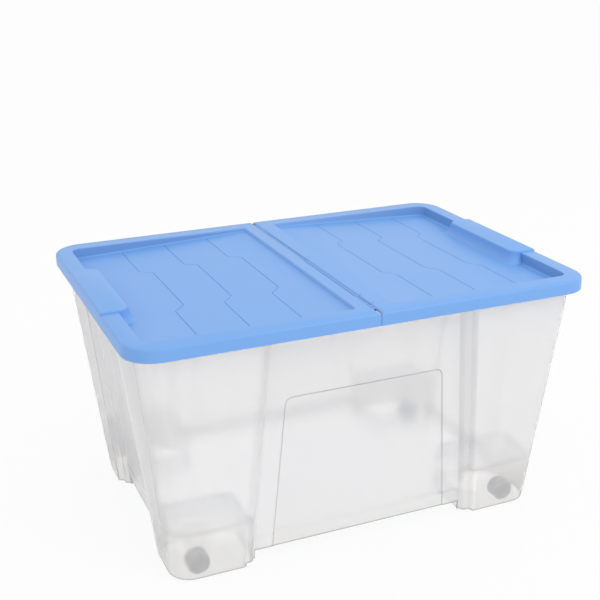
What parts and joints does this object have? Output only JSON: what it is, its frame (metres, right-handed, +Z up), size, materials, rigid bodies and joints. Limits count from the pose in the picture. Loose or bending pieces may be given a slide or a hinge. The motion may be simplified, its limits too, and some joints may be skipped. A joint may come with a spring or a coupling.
{
  "type": "wheeled storage box",
  "caption": "Translucent storage box on small wheels, with hollow corner feet, set-back walls and a folding lid with raised finger grips",
  "frame": {"origin": "centre of the box's footprint, on the floor that the wheels stand on", "axes": "X along the box, towards the end that shows on the right of the picture; -Y towards the viewer, so the long front wall faces -Y; Z up"},
  "size_m": [0.5902, 0.4202, 0.3228],
  "materials": {
    "clear_plastic": "clear to slightly milky moulded plastic",
    "blue_plastic": "satin moulded plastic",
    "grey_plastic": "satin moulded plastic",
    "pin_steel": "drawn wire"
  },
  "bodies": {
    "tub": {"tub": "clear_plastic", "axle_front_left": "pin_steel", "axle_front_right": "pin_steel", "axle_rear_left": "pin_steel", "axle_rear_right": "pin_steel"},
    "lid_left": {"lid_left_half": "blue_plastic", "hinge_pin_rear": "pin_steel", "hinge_pin_front": "pin_steel"},
    "lid_right": {"lid_right_half": "blue_plastic"},
    "wheel_front_left": {"wheel_front_left": "grey_plastic"},
    "wheel_front_right": {"wheel_front_right": "grey_plastic"},
    "wheel_rear_left": {"wheel_rear_left": "grey_plastic"},
    "wheel_rear_right": {"wheel_rear_right": "grey_plastic"}
  },
  "joints": [
    {"name": "lid_lift", "type": "slide", "parent": "tub", "child": "lid_left", "axis": [0, 0, 1], "range_m": [0, 0.1]},
    {"name": "lid_fold", "type": "hinge", "parent": "lid_left", "child": "lid_right", "pos_m": [0, 0, 0.3174], "axis": [0, -1, 0], "range_deg": [0, 90]},
    {"name": "wheel_front_left_roll", "type": "hinge", "parent": "tub", "child": "wheel_front_left", "pos_m": [-0.21402, -0.15005, 0.014], "axis": [0, 1, 0], "continuous": true},
    {"name": "wheel_front_right_roll", "type": "hinge", "parent": "tub", "child": "wheel_front_right", "pos_m": [0.21402, -0.15005, 0.014], "axis": [0, 1, 0], "continuous": true},
    {"name": "wheel_rear_left_roll", "type": "hinge", "parent": "tub", "child": "wheel_rear_left", "pos_m": [-0.21402, 0.10955, 0.014], "axis": [0, 1, 0], "continuous": true},
    {"name": "wheel_rear_right_roll", "type": "hinge", "parent": "tub", "child": "wheel_rear_right", "pos_m": [0.21402, 0.10955, 0.014], "axis": [0, 1, 0], "continuous": true}
  ]
}
